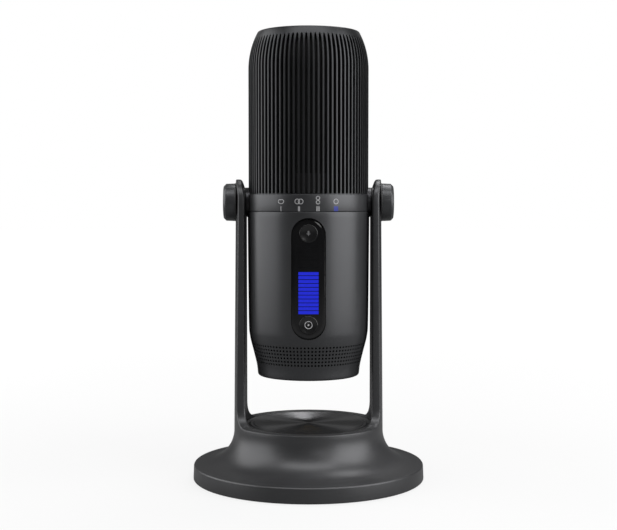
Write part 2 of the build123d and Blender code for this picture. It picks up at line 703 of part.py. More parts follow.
def pieces():
    """Every piece by the name of its node."""
    made = {
        "stand_casting": stand_casting(),
        "platter": platter(),
        "ballast_weight": ballast_weight(),
        "ballast_screw": ballast_screw(),
        "base_plate": base_plate(),
        "foot_ring": foot_ring(),
        "base_screws": base_screws(),
        "grille_cage": grille_cage(),
        "grille_liner": grille_liner(),
        "grille_collar": grille_collar(),
        "indicator_ring": indicator_ring(),
        "pattern_lights_off": pattern_lights((0, 1, 2)),
        "pattern_light_on": pattern_lights((3,)),
        "body_shell": body_shell(),
        "vent_liner": vent_liner(),
        "bottom_cover": bottom_cover(),
        "bottom_screws": bottom_screws(),
        "thread_insert": thread_insert(),
        "usb_socket": usb_socket(),
        "headphone_jack": headphone_jack(),
        "front_panel": front_panel(),
        "meter_bars_lit": meter_bars(0, BARS_LIT),
        "meter_bars_unlit": meter_bars(BARS_LIT, BARS_UNLIT),
        "panel_carrier": panel_carrier(),
        "control_board": control_board(),
        "meter_leds": meter_leds(),
        "button_switches": button_switches(),
        "mute_button": push_button(MUTE_Z),
        "monitor_button": push_button(MONITOR_Z),
        "rear_panel": rear_panel(),
        "rear_board": rear_board(),
        "rotary_controls": rotary_controls(),
        "pattern_shaft": rear_shaft(PATTERN_Z),
        "pattern_knob": rear_knob(PATTERN_Z, PATTERN_TURN),
        "gain_shaft": rear_shaft(GAIN_Z),
        "gain_knob": rear_knob(GAIN_Z, 0),
        "inner_chassis": inner_chassis(),
        "main_board": main_board(),
        "board_parts": board_parts(),
        "board_standoffs": board_standoffs(),
        "io_board": io_board(),
        "stalk_isolator": stalk_isolator(),
        "capsule_stalk": capsule_stalk(),
        "capsule_holder": capsule_holder(),
        "capsules": capsules(),
        "capsule_cable": capsule_cable(),
    }
    for name, side in (("left", -1), ("right", 1)):
        made[name + "_arm_bush"] = arm_bush(side)
        made[name + "_pivot_hub"] = pivot_hub(side)
        made[name + "_friction_washer"] = friction_washer(side)
        made[name + "_knob_washer"] = knob_washer(side)
        made[name + "_knob"] = knob_head(side)
        made[name + "_knob_stud"] = knob_stud(side)
    return made


os.makedirs("parts", exist_ok=True)
for node, shape in pieces().items():
    export_step(shape, f"parts/{node}.step")
    print(node, "solids", len(shape.solids()), "volume", round(sum(s.volume for s in shape.solids())))
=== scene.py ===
from math import asin, atan2, cos, hypot, pi, radians, sin, sqrt, tan, tau

import bmesh
import bpy
from mathutils import Matrix, Vector


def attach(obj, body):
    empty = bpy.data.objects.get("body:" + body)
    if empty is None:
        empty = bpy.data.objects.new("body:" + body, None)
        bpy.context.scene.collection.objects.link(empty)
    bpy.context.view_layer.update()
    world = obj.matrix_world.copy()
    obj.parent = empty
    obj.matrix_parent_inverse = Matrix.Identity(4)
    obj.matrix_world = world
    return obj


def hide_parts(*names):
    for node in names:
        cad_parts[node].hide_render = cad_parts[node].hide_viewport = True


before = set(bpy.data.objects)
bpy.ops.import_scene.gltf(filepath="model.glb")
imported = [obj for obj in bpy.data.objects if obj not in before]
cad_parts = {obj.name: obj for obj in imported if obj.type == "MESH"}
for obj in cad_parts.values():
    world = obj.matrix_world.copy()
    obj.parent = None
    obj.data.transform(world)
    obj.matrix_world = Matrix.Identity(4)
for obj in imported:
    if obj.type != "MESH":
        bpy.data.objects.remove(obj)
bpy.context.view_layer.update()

# A desktop microphone between the arms of its cast fork stand, from the foot up.
# Lengths below are in millimetres and become metres when a mesh is made.

# ---------- the camera ----------
# It looks at the microphone's front from the height of its pivot and a little downwards, from
# about an arm's length away.
camera_data = bpy.data.cameras.new("camera")
camera_data.sensor_width = 36.0
camera_data.lens = 70.26
camera_data.clip_start = 0.02
camera = bpy.data.objects.new("camera", camera_data)
camera.location = (0.0, -0.6247, 0.14336)
camera.rotation_euler = (radians(90.0 - 2.95), 0.0, 0.0)
bpy.context.collection.objects.link(camera)
bpy.context.scene.camera = camera


# ---------- the stand ----------
# One die casting: a heavy flared foot, a short neck and two arms that rise from the neck's rim
# as strips of the same round wall. It is shot blasted and coated in satin charcoal.
MM = 0.001
pivot_z = 143.7


def rounded(corners, steps=5):
    """A path of (x, y, radius) corners, each turned by an arc of its radius."""
    path = []
    for before, corner, after in zip([None] + corners[:-1], corners, corners[1:] + [None]):
        x, y, radius = corner
        if before is None or after is None or radius == 0:
            path.append((x, y))
            continue
        here = Vector((x, y))
        back = (Vector(before[:2]) - here).normalized()
        ahead = (Vector(after[:2]) - here).normalized()
        half = back.angle(ahead) / 2
        centre = here + (back + ahead).normalized() * radius / sin(half)
        start = here + back * radius / tan(half) - centre
        turn = start.angle_signed(here + ahead * radius / tan(half) - centre)
        for k in range(steps + 1):
            spoke = Matrix.Rotation(-turn * k / steps, 2) @ start
            path.append(tuple(centre + spoke))
    return path


def flowing(points, steps=4):
    """A smooth path through the points, whose direction at each is along its two neighbours."""
    path = []
    ends = [points[0], *points, points[-1]]
    for a, b, c, d in zip(ends, ends[1:], ends[2:], ends[3:]):
        for k in range(steps):
            t = k / steps
            path.append(tuple(
                0.5 * (2 * q + (r - p) * t + (2 * p - 5 * q + 4 * r - s) * t**2
                       + (3 * q - p - 3 * r + s) * t**3)
                for p, q, r, s in zip(a, b, c, d)
            ))
    return path + [points[-1]]


class Skin:
    """Points and faces of a piece while it is made."""

    def __init__(self):
        self.points, self.faces = [], []

    def row(self, points):
        """Adds points and returns their numbers."""
        first = len(self.points)
        self.points += [tuple(p) for p in points]
        return list(range(first, len(self.points)))

    def bridge(self, one, other, closed=False):
        """A strip of faces between two rows of the same length."""
        pairs = list(zip(one, other))
        ahead = pairs[1:] + pairs[:1] if closed else pairs[1:]
        for (a, b), (c, d) in zip(pairs, ahead):
            self.faces.append((a, b, d, c))

    def turned(self, profile, columns=96, closed=True):
        """A profile of (radius, height) points turned about Z; closed joins its last to its first."""
        rings = []
        for radius, height in profile:
            angles = [tau * k / columns for k in range(columns)]
            rings.append(self.row((radius * cos(a), radius * sin(a), height) for a in angles))
        for one, other in zip(rings, rings[1:] + (rings[:1] if closed else [])):
            self.bridge(one, other, closed=True)
        return self

    def moved(self, place):
        """The same skin with every point put through place(x, y, z)."""
        self.points = [tuple(place(*p)) for p in self.points]
        return self

    def join(self, other):
        """Takes in another skin's points and faces."""
        first = len(self.points)
        self.points += other.points
        self.faces += [tuple(k + first for k in face) for face in other.faces]

    def mesh(self, name, sharp=32.0):
        """A clean closed mesh in metres, smooth up to that many degrees."""
        mesh = bpy.data.meshes.new(name)
        work = bmesh.new()
        made = [work.verts.new(Vector(p) * MM) for p in self.points]
        for face in self.faces:
            corners = []
            for k in face:
                if made[k] not in corners:
                    corners.append(made[k])
            if len(corners) > 2:
                work.faces.new(corners)
        bmesh.ops.remove_doubles(work, verts=work.verts, dist=1e-6)
        bmesh.ops.dissolve_degenerate(work, edges=work.edges, dist=1e-7)
        bmesh.ops.recalc_face_normals(work, faces=work.faces)
        work.to_mesh(mesh)
        work.free()
        return softened(mesh, sharp)


def softened(mesh, sharp=32.0):
    """Smooth shading, with a crease where two faces meet at more than that many degrees."""
    mesh.shade_smooth()
    mesh.set_sharp_from_angle(angle=radians(sharp))
    return mesh


def new_object(name, mesh):
    made = bpy.data.objects.new(name, mesh)
    bpy.context.collection.objects.link(made)
    return made


def applied(piece, sharp=32.0):
    """The piece with its modifiers worked out into a plain mesh."""
    graph = bpy.context.evaluated_depsgraph_get()
    mesh = bpy.data.meshes.new_from_object(piece.evaluated_get(graph))
    piece.modifiers.clear()
    piece.data = softened(mesh, sharp)
    return piece


def carved(piece, cutter, operation="DIFFERENCE", sharp=32.0):
    """The piece with a cutter's shape taken from it or joined to it."""
    tool = new_object("cutter", cutter)
    change = piece.modifiers.new("carve", "BOOLEAN")
    change.operation, change.object, change.solver = operation, tool, "EXACT"
    applied(piece, sharp)
    bpy.data.objects.remove(tool)
    return piece


class Wire:
    """A node's output. Sums and products of wires and numbers add their Math nodes."""

    def __init__(self, nodes, socket):
        self.nodes, self.socket = nodes, socket

    def math(self, operation, *values):
        return self.nodes.node("ShaderNodeMath", {"operation": operation}, dict(enumerate(values)))

    def __add__(self, other):
        return self.math("ADD", self, other)

    def __sub__(self, other):
        return self.math("SUBTRACT", self, other)

    def __rsub__(self, other):
        return self.math("SUBTRACT", other, self)

    def __mul__(self, other):
        return self.math("MULTIPLY", self, other)

    __radd__ = __add__
    __rmul__ = __mul__


class Nodes:
    """A node tree, and the one way to add a node to it."""

    def __init__(self, tree):
        self.tree = tree

    def node(self, kind, settings=None, inputs=None, output=0):
        """Adds a node: its settings, then the values or wires of its sockets. Returns one output."""
        made = self.tree.nodes.new(kind)
        for key, value in (settings or {}).items():
            setattr(made, key, value)
        for key, value in (inputs or {}).items():
            if isinstance(value, Wire):
                self.tree.links.new(value.socket, made.inputs[key])
            else:
                made.inputs[key].default_value = value
        return Wire(self, made.outputs[output] if made.outputs else made)

    def blend(self, share, one, other):
        """A colour that goes from one to the other as the share goes from 0 to 1."""
        ends = {0: share, 6: (*one, 1.0), 7: (*other, 1.0)}
        return self.node("ShaderNodeMix", {"data_type": "RGBA"}, ends, output=2)


class Finish(Nodes):
    """One material: a Principled shader whose fixed values are given by socket name."""

    def __init__(self, name, values):
        self.material = bpy.data.materials.new(name)
        self.material.use_nodes = True
        super().__init__(self.material.node_tree)
        self.tree.nodes.clear()
        shader = self.node("ShaderNodeBsdfPrincipled", None, values)
        self.shader = shader.socket.node
        self.node("ShaderNodeOutputMaterial", None, {"Surface": shader})
        self.where = self.node("ShaderNodeTexCoord", output=3)

    def feed(self, socket, wire):
        self.tree.links.new(wire.socket, self.shader.inputs[socket])

    def noise(self, per_metre, detail=2.0):
        """Even cloudy values about 0, from about -0.3 to 0.3."""
        inputs = {"Vector": self.where, "Scale": per_metre, "Detail": detail}
        return self.node("ShaderNodeTexNoise", None, inputs) - 0.5

    def tint(self, colour, amount):
        """The colour made lighter and darker by the amount."""
        share = self.node("ShaderNodeClamp", None, {0: amount + 0.5})
        self.feed("Base Color", self.blend(share, [c * 0.6 for c in colour], [c * 1.4 for c in colour]))

    def bump(self, height, depth_mm):
        inputs = {"Height": height, "Distance": depth_mm * MM, "Strength": 1.0}
        self.feed("Normal", self.node("ShaderNodeBump", None, inputs))


def coated(name, colour, roughness, metallic=0.55, grain_mm=0.35, depth_mm=0.012):
    """Satin coat on metal: fine even grain, with faint clouds in its colour and its sheen."""
    finish = Finish(name, {"Metallic": metallic, "IOR": 1.5, "Specular IOR Level": 0.5})
    clouds = finish.noise(35.0, 3.0)
    grain = finish.noise(1000.0 / grain_mm)
    finish.tint(colour, clouds * 0.35 + grain * 0.4)
    finish.feed("Roughness", clouds * 0.10 + grain * 0.12 + roughness)
    finish.bump(grain + finish.noise(1000.0 / grain_mm / 3.5) * 0.6, depth_mm)
    return finish.material


def fitted(piece, material, body, slot, *nodes):
    """Gives a finished piece its material, its body and the CAD nodes that it stands for. The slot is not
    used.
    """
    piece.data.materials.clear()
    piece.data.materials.append(material)
    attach(piece, body)
    if nodes:
        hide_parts(*nodes)


def casting():
    """The foot, the neck and both arms as one skin, rounded all along the rim and the arms' edges."""
    neck, neck_top, bore = 38.7, 37.6, 34.15
    rim, seat = 28.9, 26.3
    half_width, root = 11.8, 9.0
    band = 2.35
    outer_round, rim_round, arm_round = 0.45, 0.55, 1.4
    across, rim_steps = 14, 44

    def outer_radius(z):
        return neck - (neck - neck_top) * max(0.0, z - seat) / (pivot_z - seat)

    # stations up one side of an arm: a point of its outline, the way into the metal, and the inner round
    stations = []
    for k in range(9):
        turn = radians(270 - 90 * k / 8)
        way = (cos(turn), sin(turn))
        size = rim_round + (arm_round - rim_round) * k / 8
        stations.append(((half_width + root + root * way[0], rim + root + root * way[1]), way, size))
    for k in range(1, 9):
        height = rim + root + (pivot_z - rim - root) * k / 8
        stations.append(((half_width, height), (-1.0, 0.0), arm_round))
    for k in range(1, 17):
        turn = radians(90 * k / 16)
        way = (cos(turn), sin(turn))
        point = (half_width * way[0], pivot_z + half_width * way[1])
        stations.append((point, (-way[0], -way[1]), arm_round))

    def section(size):
        """(share of the wall outwards, its shift, depth from the edge), from outside to inside."""
        path = [(1, 0, band)]
        for k in range(5):
            turn = radians(22.5 * k)
            path.append((1, -outer_round * (1 - cos(turn)), outer_round * (1 - sin(turn))))
        for k in range(7):
            turn = radians(90 - 15 * k)
            path.append((0, size * (1 - cos(turn)), size * (1 - sin(turn))))
        return path + [(0, 0, band)]

    skin = Skin()
    ground_out, ground_in = [], []
    for side in (1, -1):
        # the arm's two long edges, from the front root over the head to the back root
        edges = {}
        for hand in (-1, 1):
            rows = []
            for (y, z), way, size in stations:
                points = []
                for share, shift, depth in section(size):
                    across_y, up = y + way[0] * depth, z + way[1] * depth
                    radius = (outer_radius(up) if share else bore) + shift
                    points.append((side * sqrt(radius**2 - across_y**2), side * hand * across_y, up))
                rows.append(skin.row(points))
            for one, other in zip(rows, rows[1:]):
                skin.bridge(one, other)
            edges[hand] = rows
        # the flat of the strap between them, outside and inside
        for end, wall, ground in ((0, outer_radius, ground_out), (-1, lambda z: bore, ground_in)):
            before = None
            for left, right in zip(edges[-1], edges[1]):
                a, b = Vector(skin.points[left[end]]), Vector(skin.points[right[end]])
                middle = []
                for k in range(1, across):
                    y = a.y + (b.y - a.y) * k / across
                    middle.append((side * sqrt(wall(a.z) ** 2 - y**2), y, a.z))
                line = [left[end], *skin.row(middle), right[end]]
                if before is None:
                    ground.append(line)
                else:
                    skin.bridge(before, line)
                before = line
        # the plain rim from this arm's back root round to the other arm
        rows = [edges[1][0]]
        outer_turn = asin((half_width + root) / neck)
        inner_turn = asin((half_width + root) / bore)
        for k in range(1, rim_steps):
            points = []
            for share, shift, depth in section(rim_round):
                radius = (neck if share else bore) + shift
                start = outer_turn if share else inner_turn
                turn = start + (pi - 2 * start) * k / rim_steps + (0 if side > 0 else pi)
                points.append((radius * cos(turn), radius * sin(turn), rim - depth))
            rows.append(skin.row(points))
        ground_out.append([row[0] for row in rows[1:]])
        ground_in.append([row[-1] for row in rows[1:]])
        edges["rim"] = rows
        for one, other in zip(rows, rows[1:]):
            skin.bridge(one, other)
        if side > 0:
            first_edges, last_rim = edges, rows[-1]
        else:
            skin.bridge(last_rim, edges[-1][0])
            skin.bridge(rows[-1], first_edges[-1][0])

    def down(ground, profile):
        """Carries the ring of ground points on down a turned profile, to the axis."""
        line = [k for part in ground for k in part]
        turns = [atan2(skin.points[k][1], skin.points[k][0]) for k in line]
        for radius, height in profile:
            below = skin.row((radius * cos(t), radius * sin(t), height) for t in turns)
            skin.bridge(line, below, closed=True)
            line = below

    flare_r, flare_z, flare_turn, flare_steps = 17.3, 26.0, 69.7, 18
    flare = [(neck, flare_z)]
    for k in range(1, flare_steps + 1):
        turn = radians(flare_turn * k / flare_steps)
        flare.append((neck + flare_r * (1 - cos(turn)), flare_z - flare_r * sin(turn)))
    lip = flowing([flare[-1], (53.0, 8.95), (56.0, 8.5), (58.4, 8.28)], 4)[1:]
    edge = [(58.4, 8.28, 0), (59.3, 8.15, 0.3), (59.7, 7.6, 0.4), (60.0, 0.7, 0.3), (59.7, 0.4, 0)]
    edge = rounded(edge + [(57.0, 0.4, 0)], 4)
    cavity = [(57.0, 4.4), (52.0, 5.6), (44.0, 10.0), (38.6, 16.0), (34.5, 23.5), (0.0, 23.5)]
    down(ground_out, flare + lip + edge[1:] + cavity)
    down(ground_in, [(bore, seat), (0.0, seat)])
    return skin


def both_sides(radius, start, end):
    """A capped round bar along the pivot's axis on each side, for cutting and joining."""
    skin = Skin()
    for side in (1, -1):
        bar = Skin().turned([(0, start), (radius, start), (radius, end), (0, end)], 64)
        skin.join(bar.moved(lambda x, y, z: (side * z, x, y + pivot_z)))
    return skin.mesh("bars")


charcoal = coated("stand_charcoal_coat", (0.056, 0.0565, 0.059), roughness=0.37)
stand = new_object("stand_casting_coated", casting().mesh("stand", 40))
boss, knob_seat, bush_hole = (7.6, 33.2, 36.2), (10.4, 37.0, 42.0), (5.0, 30.0, 40.0)
carved(stand, both_sides(*boss), "UNION", 40)
carved(stand, both_sides(*knob_seat), sharp=40)
carved(stand, both_sides(*bush_hole), sharp=40)
fitted(stand, charcoal, "stand", "stand_paint", "stand_casting")


# ---------- the platter ----------
# A round plate turned from aluminium and pressed into the neck. Its face is left with
# concentric round ridges, so it keeps the tool's fine circular marks, under a black anodised coat.
def spun(name, colour, roughness, anisotropic, mark_mm=0.22, depth_mm=0.004):
    """Turned metal: fine marks that run round the Z axis, and light that stretches across them."""
    finish = Finish(name, {"Metallic": 0.9, "Anisotropic": anisotropic, "IOR": 1.5})
    level = {0: finish.where, 1: (1.0, 1.0, 0.0)}
    flat = finish.node("ShaderNodeVectorMath", {"operation": "MULTIPLY"}, level)
    radius = finish.node("ShaderNodeVectorMath", {"operation": "LENGTH"}, {0: flat}, output=1)
    marks = finish.node("ShaderNodeTexNoise", {"noise_dimensions": "1D"}, {
        "W": radius, "Scale": 1000.0 / mark_mm, "Detail": 3.0}) - 0.5
    clouds = finish.noise(60.0)
    finish.tint(colour, marks * 0.5 + clouds * 0.3)
    finish.feed("Roughness", marks * 0.15 + clouds * 0.08 + roughness)
    finish.bump(marks, depth_mm)
    return finish.material


platter_r, platter_top = 34.05, 28.8
ridges, ridge_pitch, ridge_depth, first_crest, steps_per_ridge = 14, 2.2, 0.4, 1.5, 8
platter_section = [(0.0, 26.3), (platter_r - 0.2, 26.3), (platter_r, 26.5), (platter_r, platter_top - 0.25)]
platter_section += [(platter_r - 0.08, platter_top - 0.08), (platter_r - 0.25, platter_top)]
for k in range(ridges * steps_per_ridge, -1, -1):
    phase = tau * k / steps_per_ridge
    height = platter_top - ridge_depth * (1 - cos(phase)) / 2
    platter_section.append((first_crest + ridge_pitch * k / steps_per_ridge, height))
platter_section.append((0.0, platter_top))
turned_plate = Skin().turned(platter_section, 192, closed=False)
platter = new_object("platter_turned", turned_plate.mesh("platter", 60))
black_spun = spun("platter_anodised", (0.13, 0.13, 0.134), 0.22, 0.5)
fitted(platter, black_spun, "stand", "platter_spun", "platter")


# ---------- the foot ----------
# A steel plate closes the underside and holds the iron ballast. Four cross-recess screws fix it,
# and a moulded rubber ring in its groove keeps the stand off the desk.
def axis_tree():
    """The tree that sets copies of a piece about the Z axis, and its inputs' identifiers by name."""
    tree = bpy.data.node_groups.new("set_around_the_axis", "GeometryNodeTree")
    names = {"Geometry": "Geometry", "Count": "Int", "Turn": "Float", "Start": "Float", "Finish": "Material"}
    inputs = {}
    for name, kind in names.items():
        socket = tree.interface.new_socket(name, in_out="INPUT", socket_type="NodeSocket" + kind)
        inputs[name] = socket.identifier
    tree.interface.new_socket("Geometry", in_out="OUTPUT", socket_type="NodeSocketGeometry")
    nodes = Nodes(tree)
    given = {name: nodes.node("NodeGroupInput", output=name) for name in names}
    angle = nodes.node("GeometryNodeInputIndex") * given["Turn"] + given["Start"]
    spots = nodes.node("GeometryNodeMeshLine", None, {"Count": given["Count"], "Offset": (0, 0, 0)})
    copies = nodes.node("GeometryNodeInstanceOnPoints", None, {
        "Points": spots, "Instance": given["Geometry"],
        "Rotation": nodes.node("ShaderNodeCombineXYZ", None, {"Z": angle})})
    real = nodes.node("GeometryNodeRealizeInstances", None, {"Geometry": copies})
    whole = nodes.node("GeometryNodeMergeByDistance", None, {"Geometry": real, "Distance": 2e-6})
    coat = nodes.node("GeometryNodeSetMaterial", None, {"Geometry": whole, "Material": given["Finish"]})
    nodes.node("NodeGroupOutput", None, {"Geometry": coat})
    return tree, inputs


around_tree, around_inputs = axis_tree()


def around(piece, material, count, turn_degrees, start_degrees=0.0, sharp=32.0):
    """Repeats a piece about the Z axis and leaves one plain mesh."""
    change = piece.modifiers.new("around", "NODES")
    change.node_group = around_tree
    change[around_inputs["Count"]] = count
    change[around_inputs["Turn"]] = radians(turn_degrees)
    change[around_inputs["Start"]] = radians(start_degrees)
    change[around_inputs["Finish"]] = material
    return applied(piece, sharp)


def prism(outline, low, high):
    """A solid of constant section that stands on the XY plane."""
    skin = Skin()
    bottom = skin.row((x, y, low) for x, y in outline)
    top = skin.row((x, y, high) for x, y in outline)
    skin.bridge(bottom, top, closed=True)
    skin.faces += [tuple(bottom), tuple(reversed(top))]
    return skin


def circle(radius, steps=24, x=0.0, y=0.0):
    turns = [tau * k / steps for k in range(steps)]
    return [(x + radius * cos(t), y + radius * sin(t)) for t in turns]


def cross_screw(head_r, low, high, ring_r):
    """A low domed screw head with a cross recess, seen from below, at that distance from the axis."""
    rise = high - low
    head = [(0, high), (head_r, high), (head_r, low + rise * 0.45), (head_r * 0.92, low + rise * 0.2)]
    head += [(head_r * 0.7, low + rise * 0.05), (head_r * 0.4, low), (0, low)]
    screw = new_object("screw", Skin().turned(head, 32, closed=False).mesh("screw", 45))
    arm, half = head_r * 0.6, head_r * 0.12
    cross = [(arm, half), (half, half), (half, arm)]
    outline = []
    for k in range(4):
        turn = Matrix.Rotation(tau * k / 4, 2)
        outline += [tuple(turn @ Vector(p)) for p in cross]
    carved(screw, prism(outline, low - 1, low + rise * 0.6).mesh("recess"), sharp=45)
    screw.data.transform(Matrix.Translation((ring_r * MM, 0, 0)))
    return screw


def screwed(cover, material, body, name, count, start, ring_r, head_r, low, high, well_r, well_z):
    """Sinks wells into a cover, 90 degrees apart, and sets a zinc screw into each."""
    wells = new_object("wells", prism(circle(well_r, 32, ring_r), *well_z).mesh("well"))
    around(wells, material, count, 90.0, start)
    carved(cover, wells.data)
    bpy.data.objects.remove(wells)
    screws = around(cross_screw(head_r, low, high, ring_r), zinc, count, 90.0, start, 45.0)
    screws.name = name + "_driven"
    fitted(screws, zinc, body, "screw_steel", name)


rubber = coated("foot_rubber_black", (0.018, 0.018, 0.019), 0.62, 0.0, grain_mm=0.2, depth_mm=0.02)
groove = [(49.4, 0.0), (49.6, 0.4), (51.4, 0.4), (51.6, 0.0)]
sole = rounded([(46.0, 1.2, 0), (46.0, 0.0, 0.4), (49.4, 0.0, 0)], 4) + groove[1:3]
sole += rounded([(51.6, 0.0, 0), (55.0, 0.0, 0.4), (55.0, 1.2, 0)], 4)
foot = new_object("foot_ring_moulded", Skin().turned(sole, 160).mesh("foot"))
fitted(foot, rubber, "stand", "foot_rubber", "foot_ring")

zinc = coated("zinc_plated_steel", (0.30, 0.30, 0.31), 0.34, 1.0, grain_mm=0.25, depth_mm=0.004)
black_steel = coated("black_steel", (0.035, 0.035, 0.037), 0.4, 0.8, grain_mm=0.4, depth_mm=0.01)
plate = [(0.0, 2.4), (56.5, 2.4), (56.7, 2.2), (56.7, 0.6), (56.5, 0.4), (55.1, 0.4), (55.1, 1.2)]
plate += [(45.9, 1.2), (45.9, 0.4), (0.0, 0.4)]
base_plate = new_object("base_plate_pressed", Skin().turned(plate, 160, closed=False).mesh("plate"))
screwed(base_plate, black_steel, "stand", "base_screws", count=4, start=45.0, ring_r=38.0,
        head_r=3.5, low=0.5, high=1.7, well_r=3.7, well_z=(0.0, 1.7))
fitted(base_plate, black_steel, "stand", "plate_steel", "base_plate")


def finished(material, *nodes):
    """Gives a material to CAD nodes whose own shape is right."""
    for node in nodes:
        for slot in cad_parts[node].material_slots:
            slot.material = material


cast_iron = coated("cast_iron", (0.09, 0.088, 0.085), 0.6, 0.8, grain_mm=0.8, depth_mm=0.05)
finished(cast_iron, "ballast_weight")
finished(zinc, "ballast_screw")


# ---------- pivot and knobs ----------
# On each side a threaded hub stands out of the microphone, a nylon washer runs between it and
# the arm, and a turned knob on a steel stud clamps the arm from outside over a thin washer.
def on_pivot(name, side, profile, columns=96):
    """A piece turned about the pivot's axis, from (radius, distance from the middle) points."""
    skin = Skin().turned(profile, columns)
    return new_object(name, skin.moved(lambda x, y, z: (side * z, x, y + pivot_z)).mesh(name))


stud_r, hub_r = 3.06, 7.6
hub_hole = (7.9, 22.0, 40.0)


def on_stud(radius, near, far, ease):
    """The section of a ring on the stud, from one distance to the other, with eased outer edges."""
    return rounded([(stud_r, near, 0), (radius, near, ease), (radius, far, ease), (stud_r, far, 0)], 3)


knob_coat = coated("knob_charcoal_coat", (0.05, 0.051, 0.054), 0.38)
hub_coat = coated("hub_black_oxide", (0.04, 0.04, 0.043), 0.36, 0.8, depth_mm=0.008)
nylon = coated("washer_nylon", (0.012, 0.012, 0.013), 0.5, 0.0, depth_mm=0.006)
brass = coated("brass", (0.62, 0.43, 0.16), 0.3, 1.0, depth_mm=0.004)
knob = rounded([(3.0, 37.75, 0), (9.75, 37.75, 0.15), (9.55, 42.5, 0.5), (8.25, 43.8, 0.4),
                (6.6, 43.8, 0.3)], 4)
knob += [(6.1, 43.4), (3.0, 43.35), (0.0, 43.35), (0.0, 42.0), (3.0, 42.0)]
for side, hand in ((-1, "left"), (1, "right")):
    hub = on_pivot(hand + "_hub_turned", side, on_stud(hub_r, 24.0, 32.4, 0.3))
    fitted(hub, hub_coat, "mic", "hub_metal", hand + "_pivot_hub")
    friction_washer = on_pivot(hand + "_friction_washer_cut", side, on_stud(hub_r, 32.4, 33.15, 0.15))
    fitted(friction_washer, nylon, "mic", "washer_nylon", hand + "_friction_washer")
    knob_washer = hand + "_knob_washer"
    thin_washer = on_pivot(knob_washer + "_cut", side, on_stud(10.1, 37.05, 37.75, 0.2))
    fitted(thin_washer, nylon, knob_washer, "washer_nylon", knob_washer)
    clamp = on_pivot(hand + "_knob_turned", side, knob, 128)
    fitted(clamp, knob_coat, hand + "_knob", "knob_metal", hand + "_knob")
finished(brass, "left_arm_bush", "right_arm_bush")
finished(zinc, "left_knob_stud", "right_knob_stud")


# ---------- the body ----------
# A drawn aluminium tube, satin black, that tapers in an S curve to a narrower foot. Six rows of
# small round sound holes are drilled all round its taper, with gauze behind them, painted near black as the
# shade inside.
body_r, body_top, wall = 31.5, 139.0, 1.6
holes_round, hole_rows, hole_pitch, hole_r, top_row = 100, 6, 1.82, 0.53, 71.2
half_cell = pi / holes_round
taper = flowing([(31.3, 112.0), (31.0, 82.5), (30.4, 74.5), (28.45, 66.5), (26.9, 60.0), (26.4, 56.0)], 8)


def body_radius(height):
    """The body's outer radius at a height on its taper."""
    for (r1, z1), (r2, z2) in zip(taper, taper[1:]):
        if z2 <= height <= z1:
            return r1 + (r2 - r1) * (z1 - height) / (z1 - z2)
    return taper[0][0] if height > taper[0][1] else taper[-1][0]


def body_sector():
    """One hundredth of the shell: a column of holes, with the plain wall above and below it."""
    skin = Skin()

    def spot(turn, radius, height):
        return radius * cos(turn), radius * sin(turn), height

    def strip(path):
        rows = [skin.row(spot(side * half_cell, r, z) for side in (-1, 0, 1)) for r, z in path]
        for one, other in zip(rows, rows[1:]):
            skin.bridge(one, other)

    band_top = top_row + hole_pitch / 2
    band_low = band_top - hole_rows * hole_pitch
    above = [(body_radius(band_top), band_top)]
    above += [(r, z) for r, z in reversed(taper) if z > band_top + 0.1]
    above += rounded([(31.48, 136.0, 0), (body_r, body_top, 0.25), (body_r - wall, body_top, 0.2),
                      (body_r - wall, 136.0, 0)], 3)
    above += [(r - wall, z) for r, z in taper if z > band_top + 0.1]
    above += [(body_radius(band_top) - wall, band_top)]
    strip(above)
    below = [(body_radius(band_low), band_low)] + [(r, z) for r, z in taper if z < band_low - 0.1]
    below += rounded([(26.4, 56.0, 0), (26.2, 54.2, 1.2), (24.8, 54.2, 0.25), (24.8, 57.5, 0),
                      (23.4, 57.5, 0)], 5)[1:]
    below += [(23.4, 58.9), (25.1, 58.9), (body_radius(band_low) - wall, band_low)]
    strip(below)
    for row in range(hole_rows):
        middle = top_row - row * hole_pitch
        bores = []
        for depth in (0.0, wall):
            cell, bore = [], []
            for k in range(8):
                across, up = cos(tau * k / 8), sin(tau * k / 8)
                edge = max(abs(across), abs(up))
                height = middle + up / edge * hole_pitch / 2
                cell.append(spot(across / edge * half_cell, body_radius(height) - depth, height))
                height = middle + up * hole_r
                bore.append(spot(across * hole_r / body_radius(middle), body_radius(height) - depth, height))
            bores.append(skin.row(bore))
            skin.bridge(skin.row(cell), bores[-1], closed=True)
        skin.bridge(bores[0], bores[1], closed=True)
    return skin


def pill(width, height, steps=16):
    """An upright outline with round ends, about the origin."""
    half, rise = width / 2, (height - width) / 2
    turns = [pi * k / steps for k in range(steps + 1)]
    upper = [(half * cos(t), rise + half * sin(t)) for t in turns]
    return upper + [(-x, -z) for x, z in upper]


def stood(skin, middle_z):
    """A skin made on the XY plane, stood up on the XZ plane with its height along -Y."""
    return skin.moved(lambda x, y, z: (x, -z, y + middle_z))


panel_mid, panel_width, panel_height, panel_face = 105.65, 17.2, 60.6, 29.9
anodised = coated("body_black_anodised", (0.05, 0.051, 0.054), 0.36, 0.6, grain_mm=0.3, depth_mm=0.007)
body = new_object("body_shell_drawn", body_sector().mesh("body"))
around(body, anodised, holes_round, 360.0 / holes_round)
for low, high in ((20.0, 45.0), (-45.0, -20.0)):
    carved(body, stood(prism(pill(panel_width, panel_height), low, high), panel_mid).mesh("pill"))
carved(body, both_sides(*hub_hole))
fitted(body, anodised, "mic", "body_anodised", "body_shell")
# The gauze is a real liner, but its near-zero black also paints the shade deep inside the tube and the
# grille.
gauze = coated("near_black_gauze_painted_shade", (0.003, 0.003, 0.0032), 0.8, 0.0, grain_mm=0.25, depth_mm=0.06)
finished(gauze, "vent_liner")


# ---------- the pattern ring ----------
# A separate band of the same anodised aluminium, in two halves between the pivot hubs. Slits for
# the light pipes are cut through it, and an icon for each pickup pattern is printed above them.
def box_outline(left, right, low, high):
    return [(left, low), (right, low), (right, high), (left, high)]


